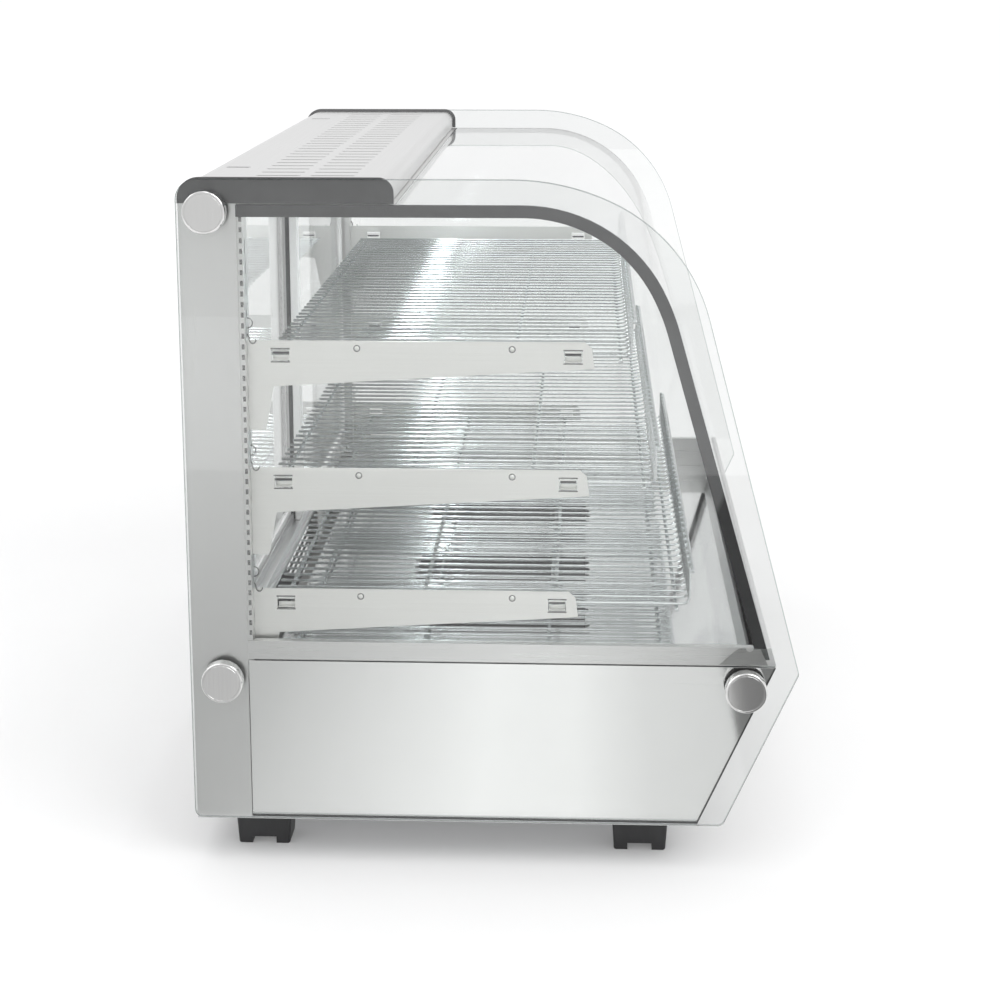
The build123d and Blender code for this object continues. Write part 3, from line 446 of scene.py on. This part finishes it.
def pane_piece(node, flat_axis, body, bevel=0.7):
    """Pane with polished, softly bevelled edges that show a deeper tint than its faces."""
    bm = bmesh.new()
    bm.from_mesh(frame["nodes"][node].data)
    bmesh.ops.remove_doubles(bm, verts=bm.verts, dist=1e-6)
    bmesh.ops.dissolve_limit(bm, angle_limit=math.radians(0.5), verts=bm.verts, edges=bm.edges)
    bm.normal_update()
    if flat_axis == 0:
        for v in bm.verts:
            v.co.x = math.copysign(max(abs(v.co.x), PANE_IN * MM + AIR_GAP), v.co.x)
    bm.normal_update()
    sharp = [e for e in bm.edges if len(e.link_faces) == 2
             and e.calc_face_angle() > math.radians(50)]
    for face in bm.faces:
        on_edge = abs(face.normal[flat_axis]) < 0.5 if flat_axis is not None else abs(face.normal.x) > 0.5
        face.material_index = 1 if on_edge else 0
    bmesh.ops.bevel(bm, geom=sharp, offset=bevel * MM, segments=2, affect="EDGES", material=1)
    bmesh.ops.triangulate(bm, faces=[f for f in bm.faces if len(f.verts) > 4])
    return finish_mesh(node + "_pane", bm, (glass, glass_edge), body, (node,))


BODY_OF = {n: o["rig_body"] for n, o in frame["nodes"].items()}
ROOT = BODY_OF["top_cover"]
for side_word in ("left", "right"):
    pane_piece(f"side_glass_{side_word}", 0, ROOT)
pane_piece("front_glass", None, ROOT, 0.6)


# ---------------------------------------------------------------- standoff caps
CAP_R, STUD_R, CAP_PROUD, STUD_IN = 20.0, 5.0, 11.0, 14.0
STANDOFFS = ((263.0, 640.0), (259.0, 187.5), (-241.0, 185.0))
CAP_PROFILE = (
    (0, -STUD_IN), (STUD_R - 0.6, -STUD_IN), (STUD_R, -STUD_IN + 0.6), (STUD_R, 0),
    (CAP_R - 0.5, 0), (CAP_R, 0.5), (CAP_R, CAP_PROUD - 1.3), (CAP_R - 0.25, CAP_PROUD - 0.55),
    (CAP_R - 0.8, CAP_PROUD - 0.12), (CAP_R - 1.5, CAP_PROUD), (CAP_R - 2.3, CAP_PROUD),
    (CAP_R - 2.5, CAP_PROUD - 0.25), (CAP_R - 2.8, CAP_PROUD - 0.25), (CAP_R - 3.0, CAP_PROUD - 0.05),
    (0, CAP_PROUD - 0.02),
)
caps = bmesh.new()
for side in (-1, 1):
    for y, z in STANDOFFS:
        lathe(caps, mm(side * PANE_OUT, y, z), (side, 0, 0), [mm(*p) for p in CAP_PROFILE])
finish_mesh("standoff_turned_caps", caps, (disc_steel,), ROOT, ("standoff_caps",), 24.0)


# ---------------------------------------------------------------- wire shelves
WIRE_R, ROD_R, WIRE_PITCH, WIRE_COUNT = 1.4, 2.0, 19.5, 41
SHELF_REAR, FENCE_H, SHELF_HALF, BEND_R = 216.0, 38.0, 401.0, 7.0
SHELF_Z = {"top": 500.0, "middle": 377.0, "bottom": 257.0}
SHELF_REACH = {"top": 346.0, "middle": 370.0, "bottom": 404.0}
ROD_SPOTS = (0.03, 0.36, 0.68, 0.97)
RAIL_HALF = WIRE_PITCH * (WIRE_COUNT - 1) / 2 + ROD_R
WELD = 0.5
columns = [(i - (WIRE_COUNT - 1) / 2) * WIRE_PITCH for i in range(WIRE_COUNT)]

for tier in ALL_TIERS:
    z, front = SHELF_Z[tier], SHELF_REAR - SHELF_REACH[tier]
    shelf = bmesh.new()
    for x in columns:
        corner = bend(mm(x, front, z), (0, -1, 0), (0, 0, 1), BEND_R * MM)
        tube(shelf, [mm(x, SHELF_REAR, z), *corner, mm(x, front, z + FENCE_H - WIRE_R - 0.8)], WIRE_R * MM)
    drop = WIRE_R + ROD_R - WELD
    for share in ROD_SPOTS:
        y = SHELF_REAR - share * SHELF_REACH[tier]
        end = SHELF_HALF - 0.7
        tube(shelf, [mm(-end, y, z - drop), mm(end, y, z - drop)], ROD_R * MM, 14)
    tube(shelf, [mm(-RAIL_HALF + 0.7, front - drop, z + FENCE_H - 5),
                 mm(RAIL_HALF - 0.7, front - drop, z + FENCE_H - 5)], ROD_R * MM, 14)
    finish_mesh(f"wire_shelf_{tier}_bent", shelf, (chrome,), ROOT, (f"wire_shelf_{tier}",))

RACK_Z, RACK_FRONT, RACK_REAR, DECK_Z = 195.0, -176.0, 214.0, 186.0
rack = bmesh.new()
rack_drop = WIRE_R + ROD_R - WELD
for x in columns:
    tube(rack, [mm(x, RACK_REAR, RACK_Z), mm(x, RACK_FRONT + 0.5, RACK_Z)], WIRE_R * MM)
for share in ROD_SPOTS:
    y = RACK_REAR - share * (RACK_REAR - RACK_FRONT)
    tube(rack, [mm(-RAIL_HALF + 0.7, y, RACK_Z - rack_drop), mm(RAIL_HALF - 0.7, y, RACK_Z - rack_drop)],
         ROD_R * MM, 14)
for share in ROD_SPOTS[::3]:
    y = RACK_REAR - share * (RACK_REAR - RACK_FRONT)
    for x in (-370, 370):
        foot_profile = ((0, 0), (2.2, 0), (2.5, 0.4), (2.5, 5.6), (0, 5.7))
        lathe(rack, mm(x, y, DECK_Z + 0.02), (0, 0, 1), [mm(*p) for p in foot_profile], 20)
finish_mesh("floor_rack_welded", rack, (chrome,), ROOT, ("floor_rack",))


# ---------------------------------------------------------------- bracket details
ARM_X, ARM_T, ARM_REAR = 406.0, 1.5, 230.98
ARM_TOP = {"top": 516.0, "middle": 393.0, "bottom": 273.0}
ARM_REACH = {"top": 326.0, "middle": 322.0, "bottom": 312.0}
WINDOW_W, WINDOW_H, WINDOW_DROP = 17.0, 12.0, 14.0
DIMPLE_Y, DIMPLE_DROP = (127.7, -18.0), 7.0
REAR_WINDOW_IN, TIP_WINDOW_IN = 31.0, 20.0
LOOP_WIRE_R = 0.6
UPRIGHT_SIDE, UPRIGHT_FOOT, MARK_PITCH, MARK_HALF, MARK_COUNT = 418.0, 222.0, 10.0, 2.4, 42
MARK_Y = (231.6, 234.2)
# One mesh holds the wire hangers and the painted shade marks: window rim lines, dimple rings and upright
# slot marks.
trim, window_shade_pads, wires_and_shade_marks = bmesh.new(), bmesh.new(), bmesh.new()


def window_clip(side, y, z):
    """Pressed clip behind a bracket's window: two lips, a tongue, a dark pad and two rim lines; the pad and
    the rim lines are painted shade of the gaps round the clip.
    """
    inner = side * (ARM_X - ARM_T / 2)
    outer = side * (ARM_X + ARM_T / 2)
    half = WINDOW_W / 2
    lip = sorted((inner, inner - side * 5.0))
    for low, high in ((z + 3.2, z + 4.2), (z - 5.4, z - 4.4)):
        bar(trim, mm(lip[0], y - half + 0.6, low), mm(lip[1], y + half - 0.6, high), 0.25 * MM)
    tongue = sorted((inner - side * 4.0, inner - side * 5.0))
    bar(trim, mm(tongue[0], y - half + 0.6, z - 5.4), mm(tongue[1], y + half - 0.6, z - 0.8), 0.25 * MM)
    # Painted shade: a dark pad in the window.
    bar(window_shade_pads, mm(tongue[0], y - half + 1, z + 0.2), mm(tongue[1], y + half - 1, z + 2.4), 0.3 * MM)
    # Painted shade: dark rim lines along the window's top and bottom edges.
    rim = sorted((outer + side * 0.05, outer + side * 0.35))
    for low, high in ((z + WINDOW_H / 2 - 0.2, z + WINDOW_H / 2 + 1.0),
                      (z - WINDOW_H / 2 - 1.0, z - WINDOW_H / 2 + 0.2)):
        bar(wires_and_shade_marks, mm(rim[0], y - half - 0.6, low), mm(rim[1], y + half + 0.6, high), 0.12 * MM)


def dimple(side, y, z):
    """Small dome with a dark ring round it; the ring is painted shade of the pressed hollow."""
    outer = side * (ARM_X + ARM_T / 2)
    dome = ((2.3, 0), (2.0, 0.5), (1.3, 0.95), (0.6, 1.1), (0, 1.15))
    lathe(trim, mm(outer, y, z), (side, 0, 0), [mm(*p) for p in dome], 24)
    # Painted shade: a thin dark ring stands for the shade round the dome.
    shade_ring = ((3.3, 0), (3.3, 0.25), (2.4, 0.25), (2.4, 0))
    lathe(wires_and_shade_marks, mm(outer, y, z), (side, 0, 0), [mm(*p) for p in shade_ring], 24)


def hanger(side, top):
    """Half ring above a bracket and J hook beside it, bent from thin wire at the upright."""
    ring = [mm(side * ARM_X, ARM_REAR - 0.6 - 4.6 * math.sin(t), top + 16.5 + 4.8 * math.cos(t))
            for t in (math.pi * i / 12 for i in range(13))]
    tube(wires_and_shade_marks, ring, LOOP_WIRE_R * MM, 8)
    x = side * (ARM_X + 1.6)
    hook = [mm(x, ARM_REAR - 0.6, top + 6), mm(x, ARM_REAR - 2.2, top + 3)]
    hook += [mm(x, ARM_REAR - 5.4 - 3.2 * math.cos(t), top + 1.2 - 4.0 * math.sin(t))
             for t in (math.pi * (1 - i / 8) for i in range(9))]
    tube(wires_and_shade_marks, hook, LOOP_WIRE_R * MM, 8)


for side in (-1, 1):
    for tier in ALL_TIERS:
        top = ARM_TOP[tier]
        tip = ARM_REAR - ARM_REACH[tier]
        for y in (ARM_REAR - REAR_WINDOW_IN, tip + TIP_WINDOW_IN):
            window_clip(side, y, top - WINDOW_DROP)
        for y in DIMPLE_Y:
            dimple(side, y, top - DIMPLE_DROP)
        hanger(side, top)
    # Painted shade: short dark raised bars stand for the slots in each upright.
    mark = sorted((side * (UPRIGHT_SIDE + 0.05), side * (UPRIGHT_SIDE + 0.45)))
    for i in range(MARK_COUNT):
        z = UPRIGHT_FOOT + MARK_PITCH * i
        bar(wires_and_shade_marks, mm(mark[0], MARK_Y[0], z - MARK_HALF), mm(mark[1], MARK_Y[1], z + MARK_HALF), 0.12 * MM)
finish_mesh("bracket_trim", trim, (bracket_steel,), ROOT)
# Wire hangers together with the painted shade marks.
finish_mesh("bracket_wires_and_painted_shade", wires_and_shade_marks, (dark_wire_and_shade,), ROOT)
finish_mesh("bracket_window_painted_shade", window_shade_pads, (rubber,), ROOT)


# ---------------------------------------------------------------- dark plates beside the glass holder, a painted reflection
BODY_X = 420.0
PLATE_GAP, PLATE_T = 0.15, 1.0
REFLECTION_PATCH_OUTLINE = [(-216.0, 207.2), (-232.6, 222.6), (-236.0, 223.9)]
NOTCH = (-244.5, 224.4, 3.6)
REFLECTION_PATCH_OUTLINE += [(NOTCH[0] + NOTCH[2] * math.cos(t), NOTCH[1] - 0.5 - NOTCH[2] * math.sin(t))
                  for t in (math.pi * i / 8 for i in range(9))]
REFLECTION_PATCH_OUTLINE += [(-253.5, 223.9), (-255.0, 222.6), (-262.0, 207.2)]
# Painted reflection: dark notched plates stand for the reflection of the dark surroundings and of a disc
# cap.
dark_patch_plates = bmesh.new()
for side in (-1, 1):
    ends = []
    for depth in (BODY_X + PLATE_GAP, BODY_X + PLATE_GAP + PLATE_T):
        ends.append([dark_patch_plates.verts.new(mm(side * depth, y, z)) for y, z in REFLECTION_PATCH_OUTLINE])
    count = len(REFLECTION_PATCH_OUTLINE)
    for ring in ends:
        dark_patch_plates.faces.new(ring)
    for k in range(count):
        n = (k + 1) % count
        dark_patch_plates.faces.new((ends[0][k], ends[0][n], ends[1][n], ends[1][k]))
finish_mesh("painted_reflection_plates", dark_patch_plates, (reflection_patch_steel,), ROOT)


# ---------------------------------------------------------------- dark joints round the base sides
def edge_joints():
    """Black joint strips along the inclined front edge and the foot of each base side panel."""
    joints = bmesh.new()
    low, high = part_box("base_side_panel_left")
    front_low, front_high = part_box("base_front_panel")
    strip, gap, proud, lip = 1.3 * MM, 0.2 * MM, 0.8 * MM, 0.2 * MM
    sheet, foot_low, foot_high = 1.2 * MM, 0.3 * MM, 2.6 * MM
    foot_y = front_high.y - sheet
    for side in (-1, 1):
        near, far = side * (BODY_X * MM + gap), side * (BODY_X * MM + gap + proud)
        x_low, x_high = sorted((near, far))
        bar(joints, (x_low, foot_y, low.z + foot_low), (x_high, high.y, low.z + foot_high), 0.3 * MM)
        ends = []
        for x in (near, far):
            ends.append([joints.verts.new(p) for p in (
                (x, front_low.y - lip, high.z), (x, front_low.y + strip, high.z),
                (x, foot_y + strip, low.z), (x, foot_y - lip, low.z))])
        for ring in ends:
            joints.faces.new(ring)
        for k in range(4):
            n = (k + 1) % 4
            joints.faces.new((ends[0][k], ends[0][n], ends[1][n], ends[1][k]))
    finish_mesh("base_edge_joints", joints, (black,), ROOT)


edge_joints()


# ---------------------------------------------------------------- black blades in the deck's air slots
def deck_grille():
    """Black blades that stand in the deck's air slots and make the slotted area dark."""
    slots, pitch, blade_half = 22, 24.0, 4.6
    front, rear, sunk, proud = -88.0, 102.0, 1.0, 1.4
    blades = bmesh.new()
    for i in range(slots):
        x = (i - (slots - 1) / 2) * pitch
        bar(blades, mm(x - blade_half, front, DECK_Z - sunk), mm(x + blade_half, rear, DECK_Z + proud),
            0.5 * MM)
    finish_mesh("deck_air_blades", blades, (black,), ROOT)


deck_grille()


# ---------------------------------------------------------------- doors
def finger_pull(word):
    """Rounded pull with a shallow dished face, on one sliding door."""
    low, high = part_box(f"door_{word}_pull")
    pull = bmesh.new()
    bar(pull, low, high, 1.4 * MM, 3)
    face = [f for f in pull.faces if f.normal.y > 0.9 and f.calc_area() > 1e-4]
    bmesh.ops.inset_region(pull, faces=face, thickness=4 * MM)
    for corner in {v for f in face for v in f.verts}:
        corner.co.y -= 2.2 * MM
    finish_mesh(f"door_{word}_finger_pull", pull, (white,), BODY_OF[f"door_{word}_frame"],
                (f"door_{word}_pull",), 50)


def meeting_seal():
    """Upright brush on the inner door's closing stile, in the gap between the two doors."""
    low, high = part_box("door_right_frame")
    seal = bmesh.new()
    bar(seal, (low.x, high.y + 0.2 * MM, low.z + 1 * MM),
        (low.x + 6 * MM, high.y + 4.6 * MM, high.z - 1 * MM), 0.8 * MM)
    finish_mesh("door_meeting_seal", seal, (rubber,), BODY_OF["door_right_frame"])


for side_word in ("left", "right"):
    finger_pull(side_word)
meeting_seal()


# ---------------------------------------------------------------- softened CAD edges
for node, radius in (
    ("feet", 1.2), ("power_inlet", 0.4), ("controller", 0.8), ("switch_bodies", 0.5),
    ("power_rocker", 0.5), ("lamp_rocker", 0.5), ("glass_holder", 0.4), ("panel_screws", 0.25),
    ("button_set", 0.3), ("button_up", 0.3), ("button_down", 0.3), ("glass_seal_left", 0.5),
    ("glass_seal_right", 0.5), ("top_cover_seals", 0.4), ("door_left_frame", 0.5),
    ("door_right_frame", 0.5), ("base_side_panel_left", 0.25), ("base_side_panel_right", 0.25),
):
    obj = frame["nodes"][node]
    weld = obj.modifiers.new("join", "WELD")
    weld.merge_threshold = 1e-5
    soft = obj.modifiers.new("soft_edge", "BEVEL")
    soft.width = radius * MM
    soft.segments = 2
    soft.limit_method = "ANGLE"
    soft.angle_limit = math.radians(50)
    soft.harden_normals = True


# ---------------------------------------------------------------- stage, light and camera
def floor_paint():
    """Matt white sweep that glows a little more where the lamps no longer reach it."""
    paint = Paint("floor_paper", Roughness=0.8)
    paint.blend(paint.fit(paint.noise(2.0), 0.0, 1.0), (0.62, 0.62, 0.62), (0.635, 0.635, 0.635))
    paint.bump(paint.noise(300.0), 0.0001, 0.2)
    far = paint.add("ShaderNodeVectorMath", operation="LENGTH")
    paint.link(paint.coords, far.inputs[0])
    paint.bsdf.inputs["Emission Color"].default_value = (1, 1, 1, 1)
    glow = paint.fit(far.outputs["Value"], 0.16, 0.46, 0.9, 4.5)
    paint.link(glow, paint.bsdf.inputs["Emission Strength"])
    return paint.mat


floor_mesh = bpy.data.meshes.new("floor")
FLOOR = 7.0
floor_mesh.from_pydata([(-FLOOR, -FLOOR, 0), (FLOOR, -FLOOR, 0), (FLOOR, FLOOR, 0), (-FLOOR, FLOOR, 0)], [],
                       [(0, 1, 2, 3)])
floor_mesh.materials.append(floor_paint())
floor = bpy.data.objects.new("floor", floor_mesh)
bpy.context.scene.collection.objects.link(floor)


def studio_card(name, rows, x_pair, upright=False):
    """A graded reflector: (y, level) rows. It shows only in reflections, like a card held off camera."""
    mesh = bpy.data.meshes.new(name)
    if upright:
        verts = [(x_pair[0], y, z) for y, _ in rows for z in (0.0, 3.0)]
    else:
        verts = [(x, y, 0.004) for y, _ in rows for x in x_pair]
    mesh.from_pydata(verts, [], [(2 * i, 2 * i + 1, 2 * i + 3, 2 * i + 2) for i in range(len(rows) - 1)])
    levels = mesh.color_attributes.new("level", "FLOAT_COLOR", "POINT")
    for i, (_, level) in enumerate(rows):
        for k in (0, 1):
            levels.data[2 * i + k].color = (level, level, level, 1)
    mat = bpy.data.materials.new(name)
    mat.use_nodes = True
    nodes, links = mat.node_tree.nodes, mat.node_tree.links
    nodes.clear()
    level = nodes.new("ShaderNodeVertexColor")
    level.layer_name = "level"
    glow, clear = nodes.new("ShaderNodeEmission"), nodes.new("ShaderNodeBsdfTransparent")
    path, mix = nodes.new("ShaderNodeLightPath"), nodes.new("ShaderNodeMixShader")
    out = nodes.new("ShaderNodeOutputMaterial")
    links.new(level.outputs[0], glow.inputs[0])
    links.new(path.outputs["Glossy Depth"], mix.inputs[0])
    links.new(clear.outputs[0], mix.inputs[1])
    links.new(glow.outputs[0], mix.inputs[2])
    links.new(mix.outputs[0], out.inputs[0])
    mesh.materials.append(mat)
    card = bpy.data.objects.new(name, mesh)
    bpy.context.scene.collection.objects.link(card)
    card.visible_camera = card.visible_diffuse = card.visible_shadow = False


FLOOR_CARD = ((0.60, 0.56), (0.30, 0.70), (0.13, 1.02), (0.02, 1.24), (-0.08, 1.20), (-0.16, 0.98),
              (-0.258, 0.90), (-0.264, 0.24), (-0.40, 0.24), (-0.41, 0.95))
FLOOR_CARD_X, BACK_CARD_X = (-1.9, -0.46), -3.4
studio_card("floor_card", FLOOR_CARD, FLOOR_CARD_X)
BACK_CARD = ((3.0, 0.78), (0.9, 0.80), (0.3, 0.86), (-0.3, 0.92), (-1.2, 0.88), (-3.0, 0.78))
studio_card("back_card", BACK_CARD, (BACK_CARD_X, BACK_CARD_X), True)

world = bpy.data.worlds.new("studio")
bpy.context.scene.world = world
world.use_nodes = True
nodes, links = world.node_tree.nodes, world.node_tree.links
nodes.clear()
direction = nodes.new("ShaderNodeTexCoord").outputs["Generated"]
split = nodes.new("ShaderNodeSeparateXYZ")
links.new(direction, split.inputs[0])
ramp = nodes.new("ShaderNodeValToRGB")
SKY = ((0.0, 1.02), (0.06, 1.03), (0.30, 0.86), (0.62, 0.78), (0.85, 1.05), (1.0, 1.15))
while len(ramp.color_ramp.elements) < len(SKY):
    ramp.color_ramp.elements.new(0.5)
for element, (height, level) in zip(ramp.color_ramp.elements, SKY):
    element.position = height
    element.color = (level, level, level * 1.005, 1)
links.new(split.outputs["Z"], ramp.inputs[0])
background = nodes.new("ShaderNodeBackground")
background.inputs["Strength"].default_value = 1.0
links.new(ramp.outputs[0], background.inputs["Color"])
world_out = nodes.new("ShaderNodeOutputWorld")
links.new(background.outputs[0], world_out.inputs[0])


def softbox(name, place, target, size, power):
    light = bpy.data.lights.new(name, "AREA")
    light.shape = "RECTANGLE"
    light.size, light.size_y = size
    light.energy = power
    obj = bpy.data.objects.new(name, light)
    obj.location = place
    obj.rotation_mode = "QUATERNION"
    obj.rotation_quaternion = (Vector(target) - Vector(place)).to_track_quat("-Z", "Y")
    bpy.context.scene.collection.objects.link(obj)


softbox("key", (-1.6, -1.8, 2.6), (0, 0, 0.3), (2.2, 2.2), 44)
softbox("fill", (-2.2, 2.0, 1.8), (0, 0, 0.3), (2.6, 2.4), 22)
softbox("top", (0.2, 0.2, 3.2), (0, 0, 0), (3.0, 3.0), 32)

# FOCAL_WIDTHS is the focal length in sensor widths. A larger SHIFT would cut off the higher views.
FOCAL_WIDTHS, SHIFT = 1.9566, -0.15
camera_data = bpy.data.cameras.new("camera")
camera_data.sensor_width = 36.0
camera_data.lens = camera_data.sensor_width * FOCAL_WIDTHS
camera_data.shift_y = SHIFT
camera_data.clip_start, camera_data.clip_end = 0.05, 200
camera = bpy.data.objects.new("camera", camera_data)
camera.location = (-2.1998, -0.0873, 0.8646)
YAW, PITCH, ROLL = math.radians(2.578), math.radians(-11.233), math.radians(-0.08)
forward = Vector((math.cos(PITCH) * math.cos(YAW), math.cos(PITCH) * math.sin(YAW), math.sin(PITCH)))
camera.rotation_mode = "QUATERNION"
aim = forward.to_track_quat("-Z", "Y").to_matrix()
camera.rotation_quaternion = (aim @ Matrix.Rotation(ROLL, 3, "Z")).to_quaternion()
bpy.context.scene.collection.objects.link(camera)
bpy.context.scene.camera = camera
bpy.context.scene.view_settings.view_transform = "Standard"
